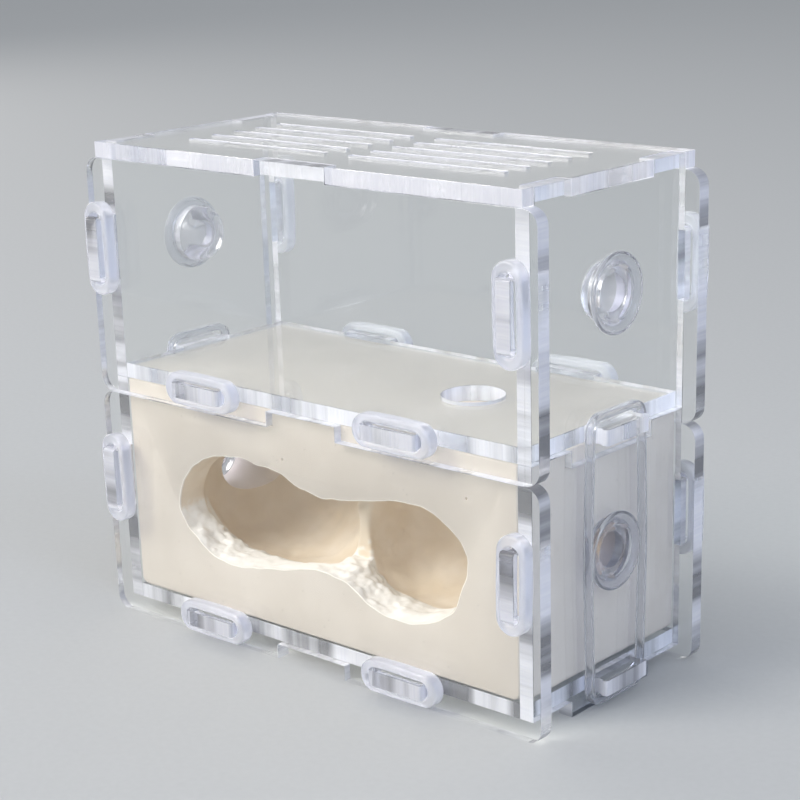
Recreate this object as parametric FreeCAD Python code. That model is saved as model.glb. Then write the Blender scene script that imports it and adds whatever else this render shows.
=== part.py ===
import FreeCAD, Part
import os

# A two-storey habitat for ants: clear laser-cut plates that plug into each other, held by
# stretched silicone rings, over a cast plaster nest block.
# X runs along the front, Y from front to back, Z up. The origin is the centre of the foot
# area, on the surface that the habitat stands on.

V = FreeCAD.Vector

# Driving dimensions in millimetres
sheet = 3.0                 # thickness of every clear plate
length = 105.0              # over the outer faces of the end panels
depth = 50.0                # over the outer faces of the front and back panels
storey = 47.0               # height of one storey, from its feet to the feet above
ear = 3.0                   # how far front and back panels reach past the end panels
fit = 0.05                  # gap left by the cut on each side of a joint

finger_width = 17.6         # finger in the middle of a front or back panel's top edge
tongue_width = 24.0         # tongue in the middle of an end panel's bottom edge

tab_width = 12.8            # plug-through tab, along the joint
tab_reach = 3.6             # how far a tab stands out of the panel it passes through
tab_corner = 0.6            # rounded corners of a tab's head
groove_depth = 0.5          # groove on each side of a tab, where a ring sits
groove_width = 2.3
panel_tab_height = 29.5     # centre of an end panel's tabs above its storey's feet
floor_tab_x = 24.5          # centres of a floor's front and back tabs

tube_height = 28.6          # centre of the tube holes above their storey's feet
tube_radius = 5.6
passage_x = 22.0            # centre of the hole from the arena down to the nest
passage_radius = 6.0

slit_width = 1.2            # ventilation slits in the lid
slit_length = 36.0
slit_pitch = 6.0
slit_rows = 5
slit_centre_x = 21.0

ring_inner_length = 14.5    # silicone ring, stretched round one tab
ring_inner_width = 3.5
ring_wall = 1.6
ring_depth = 2.0

loop_half_width = 6.6       # silicone loop that ties the two storeys, inside, at its tabs
loop_bow = 0.6              # how far its long strands bow outwards half-way
loop_tab_gap = 0.6          # between a tab and the strand that passes over or under it
loop_wall = 1.8
loop_corner = 1.5

flange_radius = 6.7         # silicone plug: flange outside, hollow body in the tube hole
flange_thickness = 1.7
flange_edge = 0.5
flange_lip = 0.7
flange_dish = 0.4
plug_radius = 5.5
plug_length = 5.7
plug_nose = 1.3
cup_radius = 3.4
cup_step_radius = 4.5
cup_step_depth = 1.0
cup_floor = 1.2

plaster_gap = 0.15          # round the plaster block
cavity_depth = 27.0         # carved nest chamber, from the block's front
cavity_round = 4.0
tunnel_radius = 5.9
tunnel_end_x = 24.0          # how near the middle the tunnels from the tube holes come

# Where the faces fall
end_face = length / 2.0
side_face = depth / 2.0
end_inner = end_face - sheet
side_inner = side_face - sheet
floor_middle = 1.5 * sheet
levels = {"lower": 0.0, "upper": storey}
sides = {"left": -1, "right": 1}


def outline(start, steps):
    """Closed wire in the XY plane; a step is an end point, or the middle and end of an arc."""
    edges = []
    here = V(start[0], start[1], 0)
    for step in steps + [start]:
        if len(step) == 4:
            there = V(step[2], step[3], 0)
            edges.append(Part.Arc(here, V(step[0], step[1], 0), there).toShape())
        else:
            there = V(step[0], step[1], 0)
            if there.distanceToPoint(here) > 1e-6:
                edges.append(Part.LineSegment(here, there).toShape())
        here = there
    return Part.Wire(edges)


def slab(wire, thickness):
    """A flat plate lying on the XY plane."""
    return Part.Face(wire).extrude(V(0, 0, thickness))


def window(centre_x, centre_y, size_x, size_y):
    """The cutter for a rectangular slot through a plate lying on the XY plane."""
    corner = V(centre_x - size_x / 2.0, centre_y - size_y / 2.0, -sheet)
    return Part.makeBox(size_x, size_y, 3.0 * sheet, corner)


def hole(centre_x, centre_y, radius):
    """The cutter for a round hole through a plate lying on the XY plane."""
    return Part.makeCylinder(radius, 3.0 * sheet, V(centre_x, centre_y, -sheet))


def along_front(shape, y):
    """Stand a flat shape up along X: its XY plane goes to XZ at y, its thickness towards -Y."""
    turn = FreeCAD.Matrix(1, 0, 0, 0, 0, 0, -1, y, 0, 1, 0, 0, 0, 0, 0, 1)
    return shape.transformed(turn)


def along_end(shape, x):
    """Stand a flat shape up along Y: its XY plane goes to YZ at x, its thickness towards +X."""
    turn = FreeCAD.Matrix(0, 0, 1, x, 1, 0, 0, 0, 0, 1, 0, 0, 0, 0, 0, 1)
    return shape.transformed(turn)


def quarter(centre_x, centre_y, radius, from_x, from_y, to_x, to_y):
    """Step for a quarter arc between two of the axis directions round a centre."""
    middle = radius * 0.5 ** 0.5
    return (centre_x + middle * (from_x + to_x), centre_y + middle * (from_y + to_y),
            centre_x + radius * to_x, centre_y + radius * to_y)


def tab_steps(root, wall, centre):
    """Outline of a tab that stands out from root in +u, through a panel whose outer face is at
    wall; listed as (u, v) steps with v rising, from the tab's lower root to its upper root."""
    half = tab_width / 2.0
    neck = half - groove_depth
    tip = wall + tab_reach
    shoulder = wall + groove_width
    corner = tab_corner
    return [
        (root, centre - half),
        (wall, centre - half),
        (wall, centre - neck),
        (shoulder, centre - neck),
        (shoulder, centre - half),
        (tip - corner, centre - half),
        quarter(tip - corner, centre - half + corner, corner, 0, -1, 1, 0),
        (tip, centre + half - corner),
        quarter(tip - corner, centre + half - corner, corner, 1, 0, 0, 1),
        (shoulder, centre + half),
        (shoulder, centre + neck),
        (wall, centre + neck),
        (wall, centre + half),
        (root, centre + half),
    ]


def turned(steps, quarters):
    """The same steps turned by quarter turns round the origin."""
    for _ in range(quarters % 4):
        steps = [tuple(value for x, y in zip(step[::2], step[1::2]) for value in (-y, x))
                 for step in steps]
    return steps


def long_panel():
    """Front or back panel, flat: rounded ears, a finger on top, a notch below, four slots."""
    half = end_face + ear
    top = storey - 2.0 * fit
    notch = finger_width / 2.0 + fit
    finger = finger_width / 2.0 - fit
    wire = outline((-half, ear), [
        quarter(-half + ear, ear, ear, -1, 0, 0, -1),
        (-notch, 0),
        (-notch, sheet),
        (notch, sheet),
        (notch, 0),
        (half - ear, 0),
        quarter(half - ear, ear, ear, 0, -1, 1, 0),
        (half, top - ear),
        quarter(half - ear, top - ear, ear, 1, 0, 0, 1),
        (finger, top),
        (finger, top + sheet),
        (-finger, top + sheet),
        (-finger, top),
        (-half + ear, top),
        quarter(-half + ear, top - ear, ear, 0, 1, -1, 0),
    ])
    panel = slab(wire, sheet)
    slot_length = tab_width + 2.0 * fit
    slot_width = sheet + 2.0 * fit
    for side in sides.values():
        panel = panel.cut(window(side * (end_face - sheet / 2.0), panel_tab_height,
                                 slot_width, slot_length))
        panel = panel.cut(window(side * floor_tab_x, floor_middle, slot_length, slot_width))
    return panel


def end_panel():
    """End panel, flat: a tab on each upright edge, a tongue below between two recesses, a
    notch on top between two fingers, the tube hole, and the slot for a floor's end tab."""
    half = side_inner - fit
    tongue = tongue_width / 2.0 - fit
    notch = tongue_width / 2.0 + fit
    top = storey - 2.0 * fit
    right_tab = tab_steps(half, side_face, panel_tab_height)
    left_tab = turned(tab_steps(half, side_face, -panel_tab_height), 2)
    wire = outline((-half, sheet), [
        (-tongue, sheet),
        (-tongue, 0),
        (tongue, 0),
        (tongue, sheet),
        (half, sheet),
    ] + right_tab + [
        (half, top + sheet),
        (notch, top + sheet),
        (notch, top),
        (-notch, top),
        (-notch, top + sheet),
        (-half, top + sheet),
    ] + left_tab)
    panel = slab(wire, sheet)
    panel = panel.cut(hole(0, tube_height, tube_radius))
    return panel.cut(window(0, floor_middle, tab_width + 2.0 * fit, sheet + 2.0 * fit))


def floor_plate(passage):
    """Floor of a storey, flat: two tabs to the front, two to the back, one to each end."""
    half_x = end_inner - fit
    half_y = side_inner - fit
    right = tab_steps(half_x, end_face, 0)
    left = turned(tab_steps(half_x, end_face, 0), 2)
    back = []
    front = []
    for side in (1, -1):
        back += turned(tab_steps(half_y, side_face, -side * floor_tab_x), 1)
        front += turned(tab_steps(half_y, side_face, -side * floor_tab_x), 3)
    steps = [(half_x, -half_y)] + right + [(half_x, half_y)] + back
    steps += [(-half_x, half_y)] + left + [(-half_x, -half_y)] + front
    plate = slab(outline(steps[0], steps[1:]), sheet)
    if passage:
        plate = plate.cut(hole(passage_x, 0, passage_radius))
    return plate


def lid():
    """Lid, flat: notches for the fingers of all four walls, and two columns of slits."""
    finger = finger_width / 2.0 + fit
    tongue = tongue_width / 2.0 - fit
    plate = slab(outline((-end_face, -side_face), [
        (end_face, -side_face),
        (end_face, side_face),
        (-end_face, side_face),
    ]), sheet)
    wall_notch = sheet + 2.0 * fit
    end_notch = side_inner - tongue
    for side in (1, -1):
        plate = plate.cut(window(0, side * side_face, 2.0 * finger, 2.0 * wall_notch))
        for end in (1, -1):
            middle = side * (tongue + end_notch / 2.0)
            plate = plate.cut(window(end * end_face, middle, 2.0 * wall_notch, end_notch))
        for row in range(slit_rows):
            slit_y = (row - (slit_rows - 1) / 2.0) * slit_pitch
            plate = plate.cut(window(side * slit_centre_x, slit_y, slit_length, slit_width))
    return plate


def stadium(half_length, radius):
    """Outline with straight sides along X and half-round ends."""
    straight = half_length - radius
    return outline((-straight, -radius), [
        (straight, -radius),
        (half_length, 0, straight, radius),
        (-straight, radius),
        (-half_length, 0, -straight, -radius),
    ])


def ring():
    """Silicone ring, flat, long along X, centred on the origin: a slice of tube."""
    half_length = ring_inner_length / 2.0
    radius = ring_inner_width / 2.0
    outer = slab(stadium(half_length + ring_wall, radius + ring_wall), ring_depth)
    return outer.cut(slab(stadium(half_length, radius), ring_depth))


def loop_outline(grow):
    """Round the two end tabs of one side, with bowed long strands; grown outwards by grow."""
    half = loop_half_width + grow
    corner = loop_corner + grow
    bottom = sheet - loop_tab_gap - grow
    top = storey + 2.0 * sheet + loop_tab_gap + grow
    middle = (bottom + top) / 2.0
    return outline((-half + corner, bottom), [
        (half - corner, bottom),
        quarter(half - corner, bottom + corner, corner, 0, -1, 1, 0),
        (half + loop_bow, middle, half, top - corner),
        quarter(half - corner, top - corner, corner, 1, 0, 0, 1),
        (-half + corner, top),
        quarter(-half + corner, top - corner, corner, 0, 1, -1, 0),
        (-half - loop_bow, middle, -half, bottom + corner),
        quarter(-half + corner, bottom + corner, corner, -1, 0, 0, -1),
    ])


def tie_loop():
    """Long silicone loop, flat, that holds the upper storey down on the lower one."""
    return slab(loop_outline(loop_wall), ring_depth).cut(slab(loop_outline(0), ring_depth))


def plug():
    """Silicone plug, turned about X: flange on the +X side of x = 0, cupped body behind it."""
    nose = plug_length - plug_nose
    rim = flange_thickness
    lip = flange_radius - flange_lip
    profile = outline((-plug_length, 0), [
        (-plug_length, plug_radius - plug_nose),
        quarter(-nose, plug_radius - plug_nose, plug_nose, -1, 0, 0, 1),
        (0, plug_radius),
        (0, flange_radius - flange_edge),
        quarter(flange_edge, flange_radius - flange_edge, flange_edge, -1, 0, 0, 1),
        (rim - flange_edge, flange_radius),
        quarter(rim - flange_edge, flange_radius - flange_edge, flange_edge, 0, 1, 1, 0),
        (rim, lip),
        (rim - flange_dish, lip - flange_dish),
        (rim - flange_dish, cup_step_radius),
        (rim - flange_dish - cup_step_depth, cup_step_radius - flange_dish),
        (rim - flange_dish - cup_step_depth, cup_radius),
        (-plug_length + cup_floor, cup_radius - flange_dish),
        (-plug_length + cup_floor, 0),
    ])
    return Part.Face(profile).revolve(V(0, 0, 0), V(1, 0, 0), 360)


def cavity_wire():
    """Mouth of the carved chamber on the block's front: two lobes joined by a wide neck."""
    mouth = [
        (-38.2, 27.3), (-35.4, 21.6), (-29.8, 17.3), (-18.2, 16.0), (-4.3, 19.8), (5.9, 19.4),
        (14.6, 16.2), (23.0, 14.9), (31.9, 17.4), (36.3, 26.0), (33.4, 35.0), (24.6, 38.4),
        (14.3, 36.7), (2.4, 34.6), (-7.6, 36.8), (-21.0, 38.6), (-32.5, 35.2),
    ]
    curve = Part.BSplineCurve()
    curve.interpolate([V(x, z, 0) for x, z in mouth], PeriodicFlag=True)
    return Part.Wire(curve.toShape())


def plaster_nest():
    """Cast block that fills the lower storey, with the chamber, passage and side tunnels."""
    half_x = end_inner - plaster_gap
    half_y = side_inner - plaster_gap
    bottom = 2.0 * sheet + plaster_gap
    top = storey + sheet - plaster_gap
    block = Part.makeBox(2.0 * half_x, 2.0 * half_y, top - bottom, V(-half_x, -half_y, bottom))
    chamber = along_front(slab(cavity_wire(), cavity_depth + sheet), -half_y + cavity_depth)
    back = [edge for edge in chamber.Edges
            if edge.BoundBox.YMin > -half_y + cavity_depth - 0.01]
    chamber = chamber.makeFillet(cavity_round, back)
    passage = Part.makeCylinder(passage_radius, top, V(passage_x, 0, tube_height))
    hollows = [passage]
    for side in sides.values():
        mouth = V(side * end_face, 0, tube_height)
        hollows.append(Part.makeCylinder(tunnel_radius, end_face - tunnel_end_x, mouth,
                                         V(-side, 0, 0)))
    return block.cut(chamber.fuse(hollows)).removeSplitter()


def storey_parts(name, base):
    """Four walls and the floor of one storey whose feet stand at height base."""
    parts = {
        name + "_front_panel": along_front(long_panel(), -side_inner),
        name + "_back_panel": along_front(long_panel(), side_face),
        name + "_left_panel": along_end(end_panel(), -end_face),
        name + "_right_panel": along_end(end_panel(), end_inner),
    }
    floor_name = "upper_floor" if name == "upper" else "base_plate"
    parts[floor_name] = floor_plate(name == "upper")
    parts[floor_name].translate(V(0, 0, sheet))
    for shape in parts.values():
        shape.translate(V(0, 0, base))
    return parts


def storey_rings(name, base):
    """Rings of one storey: one on each tab that passes through its front and back panels."""
    parts = {}
    floor_name = "upper_floor" if name == "upper" else "base_plate"
    for face, wall in (("front", -side_face), ("back", side_face + ring_depth)):
        for side, sign in sides.items():
            upright = ring()
            upright.rotate(V(0, 0, 0), V(0, 0, 1), 90)
            upright.translate(V(sign * (end_face - sheet / 2.0), panel_tab_height + base, 0))
            parts["_".join([name, side, face, "ring"])] = along_front(upright, wall)
            flat = ring()
            flat.translate(V(sign * floor_tab_x, floor_middle + base, 0))
            parts["_".join([floor_name, side, face, "ring"])] = along_front(flat, wall)
    return parts


def storey_plugs(name, base):
    """The two plugs that close the tube holes of one storey."""
    right = plug()
    right.translate(V(end_face + fit, 0, tube_height + base))
    left = right.mirror(V(0, 0, 0), V(1, 0, 0))
    return {name + "_right_plug": right, name + "_left_plug": left}


def habitat():
    """Every piece of the habitat by name, in its place."""
    parts = {}
    for name, base in levels.items():
        parts.update(storey_parts(name, base))
        parts.update(storey_rings(name, base))
        parts.update(storey_plugs(name, base))
    parts["plaster_nest"] = plaster_nest()
    parts["lid"] = lid()
    parts["lid"].translate(V(0, 0, 2.0 * storey))
    parts["left_tie_loop"] = along_end(tie_loop(), -end_face - ring_depth)
    parts["right_tie_loop"] = along_end(tie_loop(), end_face)
    return parts


os.makedirs("parts", exist_ok=True)
for piece_name, piece in habitat().items():
    if not piece.isValid() or len(piece.Solids) != 1:
        raise RuntimeError(piece_name + " is not one sound solid")
    piece.exportStep("parts/" + piece_name + ".step")
    print(piece_name, round(piece.Volume, 1))
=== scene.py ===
import math

import bmesh
import bpy
from mathutils import Matrix, Vector


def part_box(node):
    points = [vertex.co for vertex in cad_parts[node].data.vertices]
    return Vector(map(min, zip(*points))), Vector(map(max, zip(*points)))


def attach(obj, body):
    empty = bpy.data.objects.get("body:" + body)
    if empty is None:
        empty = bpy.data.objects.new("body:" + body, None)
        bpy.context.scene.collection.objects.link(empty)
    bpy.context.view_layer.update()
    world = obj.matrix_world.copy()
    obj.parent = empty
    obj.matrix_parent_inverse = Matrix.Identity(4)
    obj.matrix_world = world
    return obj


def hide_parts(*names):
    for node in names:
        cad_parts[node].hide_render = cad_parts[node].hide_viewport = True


# A two-storey ant habitat of clear laser-cut sheet, held by stretched silicone rings, over a cast
# and carved plaster nest. X runs along the front, Y from front to back, Z up, in metres.

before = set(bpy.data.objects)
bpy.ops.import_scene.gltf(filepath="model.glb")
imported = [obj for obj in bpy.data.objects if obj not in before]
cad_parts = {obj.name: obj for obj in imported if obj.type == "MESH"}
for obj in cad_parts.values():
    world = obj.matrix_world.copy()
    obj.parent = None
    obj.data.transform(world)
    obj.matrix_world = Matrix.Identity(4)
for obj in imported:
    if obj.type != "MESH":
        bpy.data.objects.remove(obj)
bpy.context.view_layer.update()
mm = 0.001
same_point = 0.002 * mm     # points nearer to each other than this are one
corner_angle = math.radians(50.0)

# Clear plates
cut_corner = 0.10 * mm      # how far the cut's corners are eased

# Silicone
ring_length = 18.4 * mm     # over a stretched ring's ends
ring_width = 6.6 * mm
ring_depth = 2.6 * mm       # how far it stands out of the panel
ring_wall = 1.5 * mm        # along a ring's long sides
ring_end_wall = 2.1 * mm    # round its ends, where it is squeezed thick
ring_lip = 0.5 * mm         # rounding of a ring's rims
ring_bow = 0.15 * mm        # how far a ring's long sides bulge at the middle
ring_gap = 0.03 * mm        # between a ring and the sheet that it presses on
loop_wall = 1.4 * mm        # of a tie loop, stretched thin
loop_depth = 1.6 * mm
loop_lip = 0.4 * mm
loop_turn = 3.3 * mm        # outer radius of its corners
loop_bow = 0.6 * mm
plug_reach = 5.7 * mm       # from the panel's outer face to a plug's inner end

# A plug's outline, as x from the panel's outer face and radius in millimetres: the body from its
# inner end outwards, round the flange with its raised rim, and down into the cup
plug_outline = [
    (-5.70, 2.8), (-5.60, 3.7), (-5.25, 4.5), (-4.55, 5.15), (-3.5, 5.5), (-1.6, 5.42),
    (-0.02, 5.5), (0.0, 6.1), (0.05, 6.9), (0.25, 7.18), (0.65, 7.3), (1.0, 7.3),
    (1.22, 7.18), (1.28, 7.0), (1.18, 6.84), (0.9, 6.7), (0.68, 6.45), (0.62, 6.15),
    (0.72, 5.7), (0.86, 5.35), (0.88, 5.1), (0.76, 4.88), (0.45, 4.72), (0.1, 4.6),
    (-0.04, 4.42), (-0.1, 4.1), (-0.16, 3.6), (-0.4, 3.38), (-2.6, 3.1), (-3.9, 2.7),
    (-4.4, 2.0),
]

# Plaster block
foot_rounding = 1.5 * mm    # of its two lower edges that run from front to back
block_rounding = 0.35 * mm  # of its other edges
block_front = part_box("plaster_nest")[0].y

# Nest chamber in the plaster: its mouth, as x and z in millimetres, walked round once
mouth_points = [
    (-36.3, 27.0), (-34.0, 22.0), (-29.0, 17.6), (-19.3, 16.1), (-8.0, 18.0), (3.5, 20.5),
    (10.5, 18.2), (16.0, 15.6), (24.0, 15.1), (33.5, 18.2), (38.0, 28.5), (34.5, 35.0),
    (25.0, 38.2), (14.5, 36.4), (1.5, 34.4), (-9.0, 38.0), (-22.5, 38.2), (-32.0, 34.3),
]
mouth_depth = 10.0 * mm     # of the straight walls behind the mouth
mouth_rim = 0.2 * mm        # how far the mouth's rim is broken
mouth_height = 27.0 * mm    # of the mouth's middle
ledge_back = block_front + mouth_depth
rim_back = block_front + 0.3 * mm

# Bounds round the mouth's rim: largest x to either side, then least and largest z, in millimetres
mouth_zone = (40.0, 12.0, 40.0)

# The two hollows behind the mouth, from left to right: x, y and z of each section's middle, and
# half its depth and height, in millimetres. The left one rises gently to the ridge between them.
left_hollow = [
    (-40.8, -5.5, 26.6, 2.5, 2.5), (-39.6, -5.5, 26.6, 6.5, 6.5), (-35.5, -5.5, 26.8, 10.5, 10.5),
    (-30.0, -5.5, 27.0, 12.8, 12.6), (-24.0, -5.5, 27.0, 13.4, 13.2),
    (-18.0, -6.8, 27.2, 13.4, 13.0), (-12.0, -8.8, 27.5, 12.6, 12.4),
    (-6.0, -11.0, 27.6, 11.2, 11.2), (-1.5, -12.6, 27.6, 8.8, 9.6), (1.5, -14.2, 27.6, 5.6, 8.4),
    (3.2, -15.4, 27.6, 2.6, 5.0),
]
right_hollow = [
    (5.4, -8.4, 25.4, 3.4, 3.4), (6.6, -8.4, 25.5, 7.2, 7.2), (10.5, -8.4, 25.9, 10.9, 10.9),
    (16.0, -8.4, 26.3, 12.8, 12.6), (22.0, -8.4, 26.8, 13.1, 13.0), (28.0, -8.4, 27.3, 12.4, 12.4),
    (34.0, -8.4, 27.8, 9.8, 9.8), (37.8, -8.4, 28.0, 6.0, 6.0), (39.0, -8.4, 28.0, 2.5, 2.5),
]

# How the carving is left: waves all over from the hand, and lumps and chips where the ledge broke
# and low on the ridge, each of those places as x of its middle and reach in millimetres
carving_grid = 0.40 * mm
hand_wave, hand_height = 6.0 * mm, 1.3 * mm
lump_size, lump_height = 3.2 * mm, 1.5 * mm
chip_size, chip_height = 1.5 * mm, 0.6 * mm
chipped_left = (-31.0, 9.0)
chipped_right = (10.0, 8.5)
ridge_place = (4.0, 3.5)

# Holes drilled in the plaster
passage_radius = 6.0 * mm
passage_depth = 24.0 * mm
passage_middle = (22.0 * mm, 0.0, 43.5 * mm)
tunnel_radius = 5.9 * mm
tunnel_depth = 20.0 * mm
tunnel_side = 42.0 * mm     # from the block's middle to a tunnel's middle
tunnel_height = 28.6 * mm
pinholes = [(-6.8, 40.5), (38.1, 41.6)]     # x and z of air bubbles in the front, in millimetres
pinhole_radius = 0.27 * mm
pinhole_depth = 2.5 * mm


# Small helpers for working on one piece at a time

def select_only(piece):
    bpy.ops.object.select_all(action="DESELECT")
    piece.select_set(True)
    bpy.context.view_layer.objects.active = piece


def start_piece(name):
    """Name the primitive that was just added, and put its place and turn into its mesh."""
    piece = bpy.context.active_object
    piece.name = name
    piece.data.name = name
    select_only(piece)
    bpy.ops.object.transform_apply(location=True, rotation=True, scale=True)
    return piece


def open_mesh(piece):
    select_only(piece)
    bpy.ops.object.mode_set(mode="EDIT")
    bpy.ops.mesh.select_all(action="DESELECT")


def close_mesh():
    bpy.ops.object.mode_set(mode="OBJECT")


def pick(piece, kind, test):
    """In edit mode, select the vertices, edges or faces that pass the test, and nothing else."""
    bpy.ops.mesh.select_mode(type=kind)
    bpy.ops.mesh.select_all(action="DESELECT")
    mesh = bmesh.from_edit_mesh(piece.data)
    items = {"VERT": mesh.verts, "EDGE": mesh.edges, "FACE": mesh.faces}[kind]
    for item in items:
        if test(item):
            item.select_set(True)
    mesh.select_flush_mode()
    bmesh.update_edit_mesh(piece.data)


def middle(edge):
    return (edge.verts[0].co + edge.verts[1].co) / 2.0


def run(edge):
    return edge.verts[1].co - edge.verts[0].co


def is_corner(edge):
    """True for an edge where two faces meet at more than the corner angle."""
    return len(edge.link_faces) == 2 and edge.calc_face_angle() > corner_angle


def pull_gently(offset, reach):
    """Move what is selected, and what lies near it on the same surface by a fading share."""
    bpy.ops.transform.translate(value=offset, use_proportional_edit=True,
                                use_proportional_connected=True,
                                proportional_edit_falloff="SMOOTH", proportional_size=reach)


def tidy_normals(piece):
    open_mesh(piece)
    bpy.ops.mesh.select_all(action="SELECT")
    bpy.ops.mesh.remove_doubles(threshold=same_point)
    bpy.ops.mesh.normals_make_consistent(inside=False)
    close_mesh()


def smooth(piece, degrees):
    """Shade the piece smooth, with its edges sharp where faces meet at more than the angle."""
    select_only(piece)
    bpy.ops.object.shade_smooth_by_angle(angle=math.radians(degrees))


def apply_modifier(piece, kind, **settings):
    """Add a modifier of that kind, set it and apply it."""
    select_only(piece)
    modifier = piece.modifiers.new(kind.lower(), kind)
    for setting, value in settings.items():
        setattr(modifier, setting, value)
    bpy.ops.object.modifier_apply(modifier=modifier.name)


def copy_of(master, name, place, finish):
    """A copy with its own mesh, its place put into that mesh, in that finish."""
    piece = master.copy()
    piece.data = master.data.copy()
    piece.name = name
    piece.data.name = name
    piece.data.transform(place)
    if place.determinant() < 0:
        piece.data.flip_normals()
    bpy.context.scene.collection.objects.link(piece)
    piece.data.materials.append(finish)
    return piece


def discard(piece):
    bpy.data.objects.remove(piece, do_unlink=True)


# Finishes

def blank_finish(name):
    material = bpy.data.materials.new(name)
    material.use_nodes = True
    material.node_tree.nodes.clear()
    return material, material.node_tree


def add(tree, kind, inputs=None, **settings):
    """A node of that kind. An input given as a socket is wired to it, and any other is set."""
    made = tree.nodes.new(kind)
    for setting, value in settings.items():
        setattr(made, setting, value)
    for place, value in (inputs or {}).items():
        if isinstance(value, bpy.types.NodeSocket):
            tree.links.new(value, made.inputs[place])
        else:
            made.inputs[place].default_value = value
    return made


def spread(tree, socket, low, high, to_low, to_high):
    """Map a value's range low..high to to_low..to_high, held at its ends."""
    made = add(tree, "ShaderNodeMapRange", {
        "Value": socket, "From Min": low, "From Max": high, "To Min": to_low, "To Max": to_high})
    return made.outputs[0]


def combine(tree, operation, first, second=0.0):
    """One value from two, by a plain operation such as MULTIPLY, ADD or MAXIMUM."""
    return add(tree, "ShaderNodeMath", {0: first, 1: second}, operation=operation).outputs[0]


def noise(tree, where, scale, detail=3.0):
    made = add(tree, "ShaderNodeTexNoise", {"Vector": where, "Scale": scale, "Detail": detail})
    return made.outputs["Fac"]


def two_colours(tree, factor, first, second, blend="MIX"):
    """The first colour blended towards the second. Each is given as red, green and blue, or as a
    socket."""
    made = add(tree, "ShaderNodeMix", {"Factor": factor}, data_type="RGBA", blend_type=blend)
    colours = [socket for socket in made.inputs if socket.type == "RGBA"]
    for socket, colour in zip(colours, (first, second)):
        if isinstance(colour, bpy.types.NodeSocket):
            tree.links.new(colour, socket)
        else:
            socket.default_value = (*colour, 1.0)
    return [socket for socket in made.outputs if socket.type == "RGBA"][0]


def let_lamps_through(tree, surface, tint):
    """The surface as seen, but a clear tint to rays that run to a lamp, for a pale shadow."""
    path = add(tree, "ShaderNodeLightPath")
    stand_in = add(tree, "ShaderNodeBsdfTransparent", {"Color": (*tint, 1.0)})
    mixed = add(tree, "ShaderNodeMixShader", {
        0: path.outputs["Is Shadow Ray"], 1: surface, 2: stand_in.outputs[0]})
    add(tree, "ShaderNodeOutputMaterial", {"Surface": mixed.outputs[0]})


def clear_sheet_finish(name, across):
    """Clear acrylic for plates whose thickness lies along one axis: polished faces with a faint
    haze, and cut edges that are ribbed by the cut, partly real frosting and partly painted light:
    whitish patches for the light that the sheet gathers and sends out at them, and ribs striped
    with a painted lilac shade."""
    material, tree = blank_finish(name)
    place = add(tree, "ShaderNodeTexCoord")
    where = place.outputs["Object"]
    facing = add(tree, "ShaderNodeSeparateXYZ", {"Vector": place.outputs["Normal"]})
    flat = combine(tree, "ABSOLUTE", facing.outputs[across])
    cut = spread(tree, flat, 0.75, 0.97, 1.0, 0.0)

    squeeze = [1.0, 1.0, 1.0]
    squeeze["XYZ".index(across)] = 0.04
    along = add(tree, "ShaderNodeMapping", {"Vector": where, "Scale": squeeze}).outputs[0]
    ribs = noise(tree, along, 2600.0, 2.0)
    blocks = noise(tree, along, 120.0, 5.0)
    haze = noise(tree, where, 55.0, 5.0)

    # Share of the cut edge drawn whitish: partly real frosting, partly a painted glow for the
    # light that the sheet gathers and sends out at its edges
    frost_and_painted_glow = combine(tree, "MULTIPLY", cut, spread(tree, blocks, 0.40, 0.58, 0.25, 0.88))
    face_roughness = spread(tree, haze, 0.35, 0.7, 0.0, 0.025)
    edge_roughness = combine(tree, "MULTIPLY", cut, spread(tree, ribs, 0.3, 0.7, 0.10, 0.24))
    roughness = combine(tree, "ADD", face_roughness, edge_roughness)
    ribbed = combine(tree, "MULTIPLY", cut, ribs)
    rib_bump = add(tree, "ShaderNodeBump", {
        "Height": ribbed, "Strength": 0.35, "Distance": 0.08 * mm})
    wave_bump = add(tree, "ShaderNodeBump", {
        "Height": noise(tree, where, 38.0, 1.0), "Strength": 0.10, "Distance": 0.25 * mm,
        "Normal": rib_bump.outputs[0]})
    clear = add(tree, "ShaderNodeBsdfPrincipled", {
        "Base Color": (0.975, 0.985, 0.985, 1.0), "Transmission Weight": 1.0, "IOR": 1.49,
        "Roughness": roughness, "Normal": wave_bump.outputs[0]})
    # The whitish edge: its ribs striped white as painted light and lilac-grey as painted shade
    # between them
    frosted_painted_glow_edge = add(tree, "ShaderNodeBsdfPrincipled", {
        "Base Color": two_colours(tree, ribs, (0.74, 0.75, 0.84), (0.97, 0.97, 0.99)),
        "Roughness": 0.3, "Normal": rib_bump.outputs[0]})
    sheet = add(tree, "ShaderNodeMixShader", {
        0: frost_and_painted_glow, 1: clear.outputs[0], 2: frosted_painted_glow_edge.outputs[0]})
    let_lamps_through(tree, sheet.outputs[0], (0.93, 0.94, 0.94))
    return material


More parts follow.
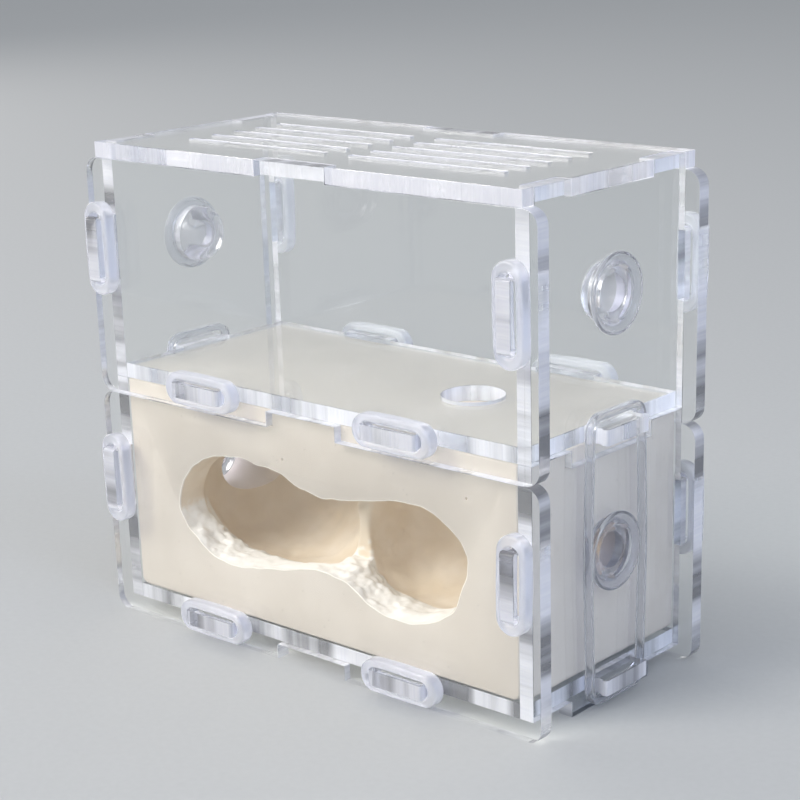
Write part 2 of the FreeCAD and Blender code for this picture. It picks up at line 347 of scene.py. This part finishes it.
def silicone_finish(name, clearness, dim, bright):
    """Lavender-white silicone rubber, from milky to clear: soft sheen, cloudy inside between two
    tints, faint mould grain, and a painted highlight: a whiter matt skin mixed in where the
    surface is seen at a grazing angle."""
    material, tree = blank_finish(name)
    where = add(tree, "ShaderNodeTexCoord").outputs["Object"]
    cloud = noise(tree, where, 140.0, 3.0)
    grain = noise(tree, where, 4200.0, 2.0)
    grazing_for_painted_rim = add(tree, "ShaderNodeLayerWeight", {"Blend": 0.35}).outputs["Facing"]
    bump = add(tree, "ShaderNodeBump", {"Height": grain, "Strength": 0.05, "Distance": 0.03 * mm})
    body = add(tree, "ShaderNodeBsdfPrincipled", {
        "Base Color": two_colours(tree, cloud, dim, bright),
        "Transmission Weight": clearness, "IOR": 1.41,
        "Roughness": spread(tree, cloud, 0.3, 0.7, 0.08, 0.17),
        "Normal": bump.outputs[0]})
    # Painted highlight: a whiter matt skin, mixed in at grazing angles for the bright rims that
    # light gives the rubber
    skin = add(tree, "ShaderNodeBsdfPrincipled", {
        "Base Color": (0.95, 0.96, 0.99, 1.0), "Roughness": 0.25, "Normal": bump.outputs[0]})
    rubber = add(tree, "ShaderNodeMixShader", {
        0: spread(tree, grazing_for_painted_rim, 0.50, 0.88, 0.0, 0.85), 1: body.outputs[0], 2: skin.outputs[0]})
    let_lamps_through(tree, rubber.outputs[0], (0.82, 0.82, 0.86))
    return material


def plaster_finish():
    """Cast plaster: warm white, faintly mottled, with fine pores painted a little darker for the
    shade inside them, and a matt skin.
    """
    material, tree = blank_finish("cast plaster")
    where = add(tree, "ShaderNodeTexCoord").outputs["Object"]
    mottle = noise(tree, where, 90.0, 6.0)
    dust = noise(tree, where, 3000.0, 3.0)
    pores = add(tree, "ShaderNodeTexVoronoi", {"Vector": where, "Scale": 420.0})
    pits = spread(tree, pores.outputs["Distance"], 0.03, 0.10, 0.0, 1.0)
    colour = two_colours(tree, spread(tree, mottle, 0.3, 0.7, 0.0, 1.0),
                         (0.64, 0.585, 0.52), (0.70, 0.645, 0.58))
    # Painted shade: the colour darkened a little in the pores
    shaded = two_colours(tree, 0.35, colour, spread(tree, pits, 0.0, 1.0, 0.35, 1.0), "MULTIPLY")
    skin = add(tree, "ShaderNodeBump", {"Height": dust, "Strength": 0.18, "Distance": 0.06 * mm})
    pitted = add(tree, "ShaderNodeBump", {
        "Height": pits, "Strength": 0.4, "Distance": 0.10 * mm, "Normal": skin.outputs[0]})
    body = add(tree, "ShaderNodeBsdfPrincipled", {
        "Base Color": shaded, "Roughness": spread(tree, dust, 0.3, 0.7, 0.82, 0.97),
        "Specular IOR Level": 0.25, "Normal": pitted.outputs[0]})
    add(tree, "ShaderNodeOutputMaterial", {"Surface": body.outputs[0]})
    return material


def carved_finish():
    """Carved plaster: smooth tan walls, painted white light on the upward faces of the ledge at
    the mouth's foot, and whiter along the mouth's broken rim."""
    material, tree = blank_finish("carved plaster")
    place = add(tree, "ShaderNodeTexCoord")
    where = place.outputs["Object"]
    facing = add(tree, "ShaderNodeSeparateXYZ", {"Vector": place.outputs["Normal"]})
    position = add(tree, "ShaderNodeSeparateXYZ", {"Vector": where})
    mottle = noise(tree, where, 160.0, 6.0)
    crumbs = noise(tree, where, 1500.0, 4.0)
    behind = combine(tree, "ADD", position.outputs["Y"],
                     spread(tree, mottle, 0.3, 0.7, -0.5 * mm, 0.5 * mm))
    upward = combine(tree, "ADD", facing.outputs["Z"],
                     spread(tree, crumbs, 0.3, 0.7, -0.08, 0.08))
    # Painted light: the ledge's upward faces, lit from above, drawn near white
    ledge = combine(tree, "MULTIPLY", spread(tree, upward, 0.10, 0.45, 0.0, 1.0),
                    spread(tree, behind, ledge_back, ledge_back + 0.6 * mm, 1.0, 0.0))
    # The mouth's broken rim drawn whiter
    rim = spread(tree, position.outputs["Y"], rim_back, rim_back + 0.1 * mm, 0.75, 0.0)
    lit_ledge_and_white_rim = combine(tree, "MAXIMUM", ledge, rim)
    wall = two_colours(tree, spread(tree, mottle, 0.3, 0.7, 0.0, 1.0),
                       (0.82, 0.70, 0.54), (0.90, 0.80, 0.67))
    grain = add(tree, "ShaderNodeBump", {
        "Height": crumbs, "Strength": 0.35, "Distance": 0.10 * mm})
    body = add(tree, "ShaderNodeBsdfPrincipled", {
        "Base Color": two_colours(tree, lit_ledge_and_white_rim, wall, (1.0, 0.98, 0.94)),
        "Roughness": spread(tree, crumbs, 0.3, 0.7, 0.85, 1.0),
        "Specular IOR Level": 0.2, "Normal": grain.outputs[0]})
    add(tree, "ShaderNodeOutputMaterial", {"Surface": body.outputs[0]})
    return material


def drilled_painted_lit_finish():
    """Drilled plaster with painted light: far whiter and warmer than the cast plaster, for the
    light that falls into the holes; chalky and dusty.
    """
    material, tree = blank_finish("drilled plaster painted lit")
    where = add(tree, "ShaderNodeTexCoord").outputs["Object"]
    chalk = noise(tree, where, 260.0, 4.0)
    dust = noise(tree, where, 2600.0, 3.0)
    skin = add(tree, "ShaderNodeBump", {"Height": dust, "Strength": 0.25, "Distance": 0.08 * mm})
    body = add(tree, "ShaderNodeBsdfPrincipled", {
        # Painted light: far whiter and warmer than the cast plaster, for the light in the passage
        # and tunnels
        "Base Color": two_colours(tree, chalk, (0.95, 0.86, 0.78), (1.0, 0.94, 0.88)),
        "Roughness": spread(tree, dust, 0.3, 0.7, 0.82, 0.97),
        "Specular IOR Level": 0.25, "Normal": skin.outputs[0]})
    add(tree, "ShaderNodeOutputMaterial", {"Surface": body.outputs[0]})
    return material


def floor_finish():
    """Plain pale backdrop paper."""
    material, tree = blank_finish("pale paper")
    where = add(tree, "ShaderNodeTexCoord").outputs["Object"]
    fibre = noise(tree, where, 700.0, 4.0)
    body = add(tree, "ShaderNodeBsdfPrincipled", {
        "Base Color": two_colours(tree, fibre, (0.60, 0.61, 0.60), (0.64, 0.65, 0.64)),
        "Roughness": 0.95, "Specular IOR Level": 0.1})
    add(tree, "ShaderNodeOutputMaterial", {"Surface": body.outputs[0]})
    return material


# Clear plates

def dress_plates(finishes):
    """The frame's own plates, by the axis that their thickness lies along, in clear sheet and with
    the corners of their cut eased."""
    plates = {
        "X": ["upper_left_panel", "upper_right_panel", "lower_left_panel", "lower_right_panel"],
        "Y": ["upper_front_panel", "upper_back_panel", "lower_front_panel", "lower_back_panel"],
        "Z": ["lid", "upper_floor", "base_plate"],
    }
    for across, names in plates.items():
        for name in names:
            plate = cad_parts[name]
            for slot in plate.material_slots:
                slot.material = finishes[across]
            weld = plate.modifiers.new("weld", "WELD")
            weld.merge_threshold = same_point
            flat = plate.modifiers.new("flat faces", "DECIMATE")
            flat.decimate_type = "DISSOLVE"
            flat.angle_limit = math.radians(1.0)
            eased = plate.modifiers.new("eased corners", "BEVEL")
            eased.width = cut_corner
            eased.segments = 2
            eased.limit_method = "ANGLE"
            eased.angle_limit = math.radians(40.0)
            eased.use_clamp_overlap = False


# Silicone rings

def ring_master(length, width, thickness):
    """A slice of silicone tube, stretched along X, thickness along Y, centred on the origin."""
    radius = width / 2.0 - ring_bow
    stretch = length / 2.0 - radius
    bpy.ops.mesh.primitive_cylinder_add(vertices=48, radius=radius, depth=thickness,
                                        rotation=(math.pi / 2.0, 0.0, 0.0))
    ring = start_piece("ring")
    open_mesh(ring)
    pick(ring, "FACE", lambda face: abs(face.normal.y) > 0.9)
    bpy.ops.mesh.inset(thickness=ring_wall)
    bpy.ops.mesh.delete(type="FACE")
    pick(ring, "EDGE", lambda edge: len(edge.link_faces) == 1)
    bpy.ops.mesh.bridge_edge_loops()
    hole = radius - 0.5 * ring_wall
    for side in (1, -1):
        pick(ring, "VERT", lambda vertex: vertex.co.x * side > 0.01 * mm)
        bpy.ops.transform.translate(value=(side * stretch, 0.0, 0.0))
        pick(ring, "VERT", lambda vertex: vertex.co.x * side > stretch - 0.01 * mm
             and math.hypot(vertex.co.x - side * stretch, vertex.co.z) < hole)
        bpy.ops.transform.translate(value=(-side * (ring_end_wall - ring_wall), 0.0, 0.0))
    pick(ring, "EDGE", lambda edge: abs(run(edge).x) > 0.8 * stretch)
    bpy.ops.mesh.subdivide(number_cuts=5)
    for side in (1, -1):
        pick(ring, "VERT", lambda vertex: abs(vertex.co.x) < 0.01 * mm
             and vertex.co.z * side > 0.0)
        pull_gently((0.0, 0.0, side * ring_bow), 0.5 * length)
    pick(ring, "EDGE", is_corner)
    bpy.ops.mesh.bevel(offset=ring_lip, segments=4, profile=0.5)
    close_mesh()
    tidy_normals(ring)
    smooth(ring, 60.0)
    return ring


def make_rings(finish):
    """One ring on each tab, each a little askew, as stretched rings sit."""
    names = [name for name in sorted(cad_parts) if name.endswith("_ring")]
    master = ring_master(ring_length, ring_width, ring_depth)
    for count, name in enumerate(names):
        low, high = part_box(name)
        upright = high.z - low.z > high.x - low.x
        lean = math.radians((count * 7 % 5 - 2) * 0.5)
        centre = (low + high) / 2.0
        if centre.y < 0.0:
            centre.y = high.y - ring_gap - ring_depth / 2.0
        else:
            centre.y = low.y + ring_gap + ring_depth / 2.0
        turn = Matrix.Rotation((math.pi / 2.0 if upright else 0.0) + lean, 4, "Y")
        place = Matrix.Translation(centre) @ turn
        ring = copy_of(master, name + "_silicone", place, finish)
        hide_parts(name)
        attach(ring, "habitat")
    discard(master)


# Silicone tie loops

def loop_master(low, high):
    """The right-hand loop, in its place: two long bowed strands joined over and under the tabs."""
    size = high - low
    centre = (low + high) / 2.0
    centre.x = low.x + loop_depth / 2.0
    half_width = size.y / 2.0 - loop_bow
    bpy.ops.mesh.primitive_cube_add(size=1.0, location=centre,
                                    scale=(loop_depth, 2.0 * half_width, size.z))
    loop = start_piece("loop")
    open_mesh(loop)
    pick(loop, "FACE", lambda face: abs(face.normal.x) > 0.9)
    bpy.ops.mesh.inset(thickness=loop_wall)
    bpy.ops.mesh.delete(type="FACE")
    pick(loop, "EDGE", lambda edge: len(edge.link_faces) == 1)
    bpy.ops.mesh.bridge_edge_loops()
    inner = half_width - loop_wall
    pick(loop, "EDGE", lambda edge: abs(run(edge).x) > 1.0 * mm
         and abs(middle(edge).y) > inner + 0.5 * mm)
    bpy.ops.mesh.bevel(offset=loop_turn, segments=8)
    pick(loop, "EDGE", lambda edge: abs(run(edge).x) > 1.0 * mm
         and abs(abs(middle(edge).y) - inner) < 0.1 * mm
         and is_corner(edge))
    bpy.ops.mesh.bevel(offset=loop_turn - loop_wall, segments=8)
    pick(loop, "EDGE", lambda edge: abs(run(edge).z) > 20.0 * mm)
    bpy.ops.mesh.subdivide(number_cuts=15)
    pick(loop, "EDGE", lambda edge: abs(run(edge).y) > 8.0 * mm)
    bpy.ops.mesh.subdivide(number_cuts=5)
    for side in (1, -1):
        pick(loop, "VERT", lambda vertex: abs(vertex.co.z - centre.z) < 0.1 * mm
             and vertex.co.y * side > 0.0)
        pull_gently((0.0, side * loop_bow, 0.0), 0.5 * size.z)
    pick(loop, "EDGE", is_corner)
    bpy.ops.mesh.bevel(offset=loop_lip, segments=4)
    close_mesh()
    tidy_normals(loop)
    smooth(loop, 60.0)
    return loop


def make_loops(finish):
    """A loop on the right end, and its mirror image on the left one."""
    low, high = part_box("right_tie_loop")
    master = loop_master(low, high)
    off_panel = Matrix.Translation((ring_gap, 0.0, 0.0))
    mirrored = Matrix.Scale(-1.0, 4, (1.0, 0.0, 0.0))
    places = {"right_tie_loop": off_panel, "left_tie_loop": mirrored @ off_panel}
    for name, place in places.items():
        loop = copy_of(master, name + "_silicone", place, finish)
        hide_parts(name)
        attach(loop, "habitat")
    discard(master)


# Silicone plugs

def plug_master():
    """A right-hand plug about X: a disc drawn out along its outline, its flange past x = 0."""
    first_x, first_radius = plug_outline[0]
    bpy.ops.mesh.primitive_circle_add(vertices=64, radius=first_radius * mm, fill_type="NGON",
                                      location=(first_x * mm, 0.0, 0.0),
                                      rotation=(0.0, math.pi / 2.0, 0.0))
    plug = start_piece("plug")
    open_mesh(plug)
    bpy.ops.mesh.select_all(action="SELECT")
    here_x, here_radius = first_x, first_radius
    for x, radius in plug_outline[1:]:
        bpy.ops.mesh.extrude_region_move(
            TRANSFORM_OT_translate={"value": ((x - here_x) * mm, 0.0, 0.0)})
        grow = radius / here_radius
        bpy.ops.transform.resize(value=(1.0, grow, grow))
        here_x, here_radius = x, radius
    close_mesh()
    tidy_normals(plug)
    smooth(plug, 75.0)
    return plug


def make_plugs(finish):
    """A plug in each end panel's hole, turned round on the left."""
    master = plug_master()
    for name in ("upper_right_plug", "lower_right_plug", "upper_left_plug", "lower_left_plug"):
        low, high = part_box(name)
        centre = (low + high) / 2.0
        if centre.x > 0.0:
            place = Matrix.Translation((low.x + plug_reach, 0.0, centre.z))
        else:
            place = Matrix.Translation((high.x - plug_reach, 0.0, centre.z))
            place = place @ Matrix.Rotation(math.pi, 4, "Z")
        plug = copy_of(master, name + "_silicone", place, finish)
        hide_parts(name)
        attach(plug, name)
    discard(master)


# Plaster nest

def mouth_cutter():
    """The shallow part of the chamber, as wide as its mouth: an outline pulled inwards."""
    clearance = 2.0 * mm
    start = (0.0, block_front - clearance, mouth_height)
    bpy.ops.mesh.primitive_circle_add(vertices=len(mouth_points), radius=30.0 * mm,
                                      fill_type="NGON", location=start,
                                      rotation=(math.pi / 2.0, 0.0, 0.0))
    cutter = start_piece("chamber")
    open_mesh(cutter)
    for number, point in enumerate(mouth_points):
        # Smoothing draws a corner inwards, so each starts a third of its own bulge further out
        before = mouth_points[number - 1]
        after = mouth_points[(number + 1) % len(mouth_points)]
        x, z = (p + (p - (b + a) / 2.0) / 3.0 for b, p, a in zip(before, point, after))
        pick(cutter, "VERT", lambda vertex: vertex.index == number)
        here = bmesh.from_edit_mesh(cutter.data).verts[:][number].co
        bpy.ops.transform.translate(value=(x * mm - here.x, 0.0, z * mm - here.z))
    bpy.ops.mesh.select_all(action="SELECT")
    bpy.ops.mesh.extrude_region_move(TRANSFORM_OT_translate={"value": (0.0, clearance, 0.0)})
    for share in (0.1, 0.4, 0.4, 0.1):
        bpy.ops.mesh.extrude_region_move(
            TRANSFORM_OT_translate={"value": (0.0, share * mouth_depth, 0.0)})
    bpy.ops.mesh.inset(thickness=0.6 * mm)
    close_mesh()
    tidy_normals(cutter)
    apply_modifier(cutter, "SUBSURF", levels=3, render_levels=3)
    return cutter


def scoop(sections):
    """A hollow behind the mouth: a disc drawn along X through its sections, then smoothed."""
    bpy.ops.mesh.primitive_circle_add(vertices=32, radius=1.0 * mm, fill_type="NGON",
                                      location=(0.0, 0.0, 0.0), rotation=(0.0, math.pi / 2.0, 0.0))
    hollow = start_piece("hollow")
    open_mesh(hollow)
    bpy.ops.mesh.select_all(action="SELECT")
    here, here_deep, here_high = Vector((0.0, 0.0, 0.0)), 1.0, 1.0
    for x, y, z, deep, high in sections:
        step = Vector((x, y, z)) - here
        bpy.ops.mesh.extrude_region_move(TRANSFORM_OT_translate={"value": tuple(step * mm)})
        bpy.ops.transform.resize(value=(1.0, deep / here_deep, high / here_high))
        here, here_deep, here_high = Vector((x, y, z)), deep, high
    pick(hollow, "VERT", lambda vertex: vertex.co.length < 1.1 * mm)
    bpy.ops.mesh.delete(type="VERT")
    pick(hollow, "EDGE", lambda edge: len(edge.link_faces) == 1)
    bpy.ops.mesh.edge_face_add()
    close_mesh()
    tidy_normals(hollow)
    apply_modifier(hollow, "SUBSURF", levels=2, render_levels=2)
    return hollow


def clamp(value):
    """The value, held between 0 and 1."""
    return min(1.0, max(0.0, value))


def swell(value, centre, reach):
    """1 at the centre, fading smoothly to nothing some way beyond the reach on both sides."""
    return math.exp(-((value - centre) / reach) ** 2)


def rough_weights(cutter):
    """A vertex group that is full where the ledge along the mouth's foot is chipped, at its left
    end and just right of the neck, and part full low on the ridge between the bowls."""
    group = cutter.vertex_groups.new(name="rough")
    for vertex in cutter.data.vertices:
        x, y, z = vertex.co / mm
        depth = y - block_front / mm
        inside = clamp(depth / 1.5) * clamp(11.0 - depth)
        foot = clamp(-1.6 * vertex.normal.z - 0.15)
        chipped = swell(x, *chipped_left) + swell(x, *chipped_right)
        ridge = swell(x, *ridge_place) * clamp((27.0 - z) / 4.0) if depth > 7.0 else 0.0
        weight = 0.03 + inside * foot * (0.12 + 0.88 * min(1.0, chipped)) + 0.6 * ridge
        group.add([vertex.index], min(1.0, weight), "REPLACE")
    return group.name


def texture_of(name, kind, size):
    texture = bpy.data.textures.new(name, kind)
    texture.noise_scale = size
    return texture


def carve(chamber, texture, height, **settings):
    """Push the chamber's surface in and out by a texture."""
    apply_modifier(chamber, "DISPLACE", texture=texture, texture_coords="LOCAL",
                   strength=height, **settings)


def chamber_cutter(carved):
    """The whole chamber as one solid: mouth and hollows joined, rebuilt on a fine grid, smoothed
    and roughened as a hand tool leaves them."""
    chamber = mouth_cutter()
    hollows = [scoop(left_hollow), scoop(right_hollow)]
    select_only(chamber)
    for hollow in hollows:
        hollow.select_set(True)
    bpy.ops.object.join()
    apply_modifier(chamber, "REMESH", mode="VOXEL", voxel_size=carving_grid)
    apply_modifier(chamber, "SMOOTH", factor=0.5, iterations=4)
    rough = rough_weights(chamber)
    hand = texture_of("hand", "CLOUDS", hand_wave)
    hand.noise_depth = 1
    lumps = texture_of("lumps", "CLOUDS", lump_size)
    lumps.noise_depth = 2
    chips = texture_of("chips", "VORONOI", chip_size)
    carve(chamber, hand, hand_height, mid_level=0.5)
    carve(chamber, lumps, lump_height, mid_level=0.5, vertex_group=rough)
    carve(chamber, chips, chip_height, mid_level=0.4, vertex_group=rough)
    chamber.data.materials.append(carved)
    return chamber


def hole_cutters(bored_painted_lit):
    """The passage down from the arena, a tunnel to each end's plug, and two pinholes in front."""
    across = (0.0, math.pi / 2.0, 0.0)
    inwards = (math.pi / 2.0, 0.0, 0.0)
    holes = [("passage", 64, passage_radius, passage_depth, passage_middle, (0.0, 0.0, 0.0))]
    for side in (1, -1):
        place = (side * tunnel_side, 0.0, tunnel_height)
        holes.append(("tunnel", 64, tunnel_radius, tunnel_depth, place, across))
    for x, z in pinholes:
        place = (x * mm, block_front, z * mm)
        holes.append(("pinhole", 12, pinhole_radius, 2.0 * pinhole_depth, place, inwards))
    cutters = []
    for name, sides, radius, depth, place, turn in holes:
        bpy.ops.mesh.primitive_cylinder_add(vertices=sides, radius=radius, depth=depth,
                                            location=place, rotation=turn)
        cutter = start_piece(name)
        cutter.data.materials.append(bored_painted_lit)
        cutters.append(cutter)
    return cutters


def on_mouth_rim(edge):
    """True for an edge between the block's front and the chamber."""
    x, y, z = middle(edge) / mm
    widest, lowest, highest = mouth_zone
    return (abs(y - block_front / mm) < 0.01 and abs(x) < widest and lowest < z < highest
            and is_corner(edge))


def make_plaster(cast, carved, bored_painted_lit):
    """The block as cast, with its edges rounded, the chamber and holes cut, and the mouth's rim
    broken."""
    low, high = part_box("plaster_nest")
    centre = (low + high) / 2.0
    bpy.ops.mesh.primitive_cube_add(size=1.0, location=centre, scale=high - low)
    block = start_piece("plaster_nest_cast")
    open_mesh(block)
    pick(block, "EDGE", lambda edge: abs(run(edge).y) > 20.0 * mm and middle(edge).z < centre.z)
    bpy.ops.mesh.bevel(offset=foot_rounding, segments=6)
    pick(block, "EDGE", is_corner)
    bpy.ops.mesh.bevel(offset=block_rounding, segments=3)
    close_mesh()
    block.data.materials.append(cast)

    for cutter in [chamber_cutter(carved)] + hole_cutters(bored_painted_lit):
        apply_modifier(block, "BOOLEAN", operation="DIFFERENCE", solver="EXACT", object=cutter,
                       material_mode="TRANSFER")
        discard(cutter)
    open_mesh(block)
    pick(block, "EDGE", on_mouth_rim)
    bpy.ops.mesh.remove_doubles(threshold=mouth_rim)
    pick(block, "EDGE", on_mouth_rim)
    bpy.ops.mesh.bevel(offset=mouth_rim, segments=2, material=1)
    close_mesh()
    smooth(block, 35.0)
    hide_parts("plaster_nest")
    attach(block, "habitat")


# Stage, light and camera

def make_floor(finish):
    bpy.ops.mesh.primitive_plane_add(size=8.0, location=(0.0, 0.0, 0.0))
    floor = start_piece("floor")
    floor.data.materials.append(finish)


def soft_box(name, place, aim, size, watts, colour):
    """A square lamp with a soft face, turned to its aim."""
    data = bpy.data.lights.new(name, "AREA")
    data.shape = "SQUARE"
    data.size = size
    data.energy = watts
    data.color = colour
    lamp = bpy.data.objects.new(name, data)
    lamp.location = place
    lamp.rotation_euler = (Vector(place) - Vector(aim)).to_track_quat("Z", "Y").to_euler()
    bpy.context.scene.collection.objects.link(lamp)


def light_room():
    """A grey backdrop where the room is seen, a bluish fill where it only gives light, and four
    soft lamps round the habitat."""
    world = bpy.data.worlds.new("room")
    bpy.context.scene.world = world
    world.use_nodes = True
    tree = world.node_tree
    tree.nodes.clear()
    path = add(tree, "ShaderNodeLightPath").outputs
    seen = combine(tree, "MAXIMUM", path["Is Camera Ray"], path["Is Glossy Ray"])
    seen = combine(tree, "MAXIMUM", seen, path["Is Transmission Ray"])
    fill = add(tree, "ShaderNodeBackground", {"Color": (0.88, 0.92, 1.0, 1.0), "Strength": 0.5})
    backdrop = add(tree, "ShaderNodeBackground", {
        "Color": (0.55, 0.56, 0.57, 1.0), "Strength": 1.0})
    mixed = add(tree, "ShaderNodeMixShader", {0: seen, 1: fill.outputs[0], 2: backdrop.outputs[0]})
    add(tree, "ShaderNodeOutputWorld", {"Surface": mixed.outputs[0]})
    aim = (0.0, 0.0, 0.05)
    soft_box("key", (-0.50, -0.95, 0.82), aim, 0.6, 9.8, (1.0, 0.965, 0.93))
    soft_box("side", (1.2, -0.1, 0.55), aim, 0.5, 4.4, (0.68, 0.77, 1.0))
    soft_box("left", (-1.2, 0.15, 0.4), aim, 0.5, 2.5, (1.0, 0.95, 0.92))
    soft_box("top", (0.1, 0.35, 1.2), aim, 0.5, 0.3, (0.75, 0.84, 1.0))


def set_camera():
    """Seen from the front right and a little above."""
    azimuth = math.radians(41.57)
    elevation = math.radians(17.69)
    roll = math.radians(-1.62)
    target = Vector((4.62 * mm, 0.0, 33.56 * mm))
    distance = 380.5        # in millimetres
    back = Vector((math.sin(azimuth) * math.cos(elevation),
                   -math.cos(azimuth) * math.cos(elevation), math.sin(elevation)))
    data = bpy.data.cameras.new("camera")
    data.sensor_width = 36.0
    data.lens = 88.22
    data.shift_x = -0.0125
    data.shift_y = 0.0938
    data.clip_start = 0.01
    camera = bpy.data.objects.new("camera", data)
    turn = back.to_track_quat("Z", "Y").to_matrix().to_4x4() @ Matrix.Rotation(roll, 4, "Z")
    camera.matrix_world = Matrix.Translation(target + back * distance * mm) @ turn
    bpy.context.scene.collection.objects.link(camera)
    bpy.context.scene.camera = camera


clear_sheet = {axis: clear_sheet_finish("clear sheet " + axis, axis) for axis in "XYZ"}
milky_silicone = silicone_finish("milky silicone", 0.68, (0.89, 0.90, 0.95), (0.95, 0.96, 0.99))
clear_silicone = silicone_finish("clear silicone", 0.90, (0.78, 0.79, 0.83), (0.86, 0.87, 0.90))
dress_plates(clear_sheet)
make_rings(milky_silicone)
make_loops(clear_silicone)
make_plugs(clear_silicone)
make_plaster(plaster_finish(), carved_finish(), drilled_painted_lit_finish())
make_floor(floor_finish())
light_room()
set_camera()
bpy.context.scene.view_settings.view_transform = "Standard"
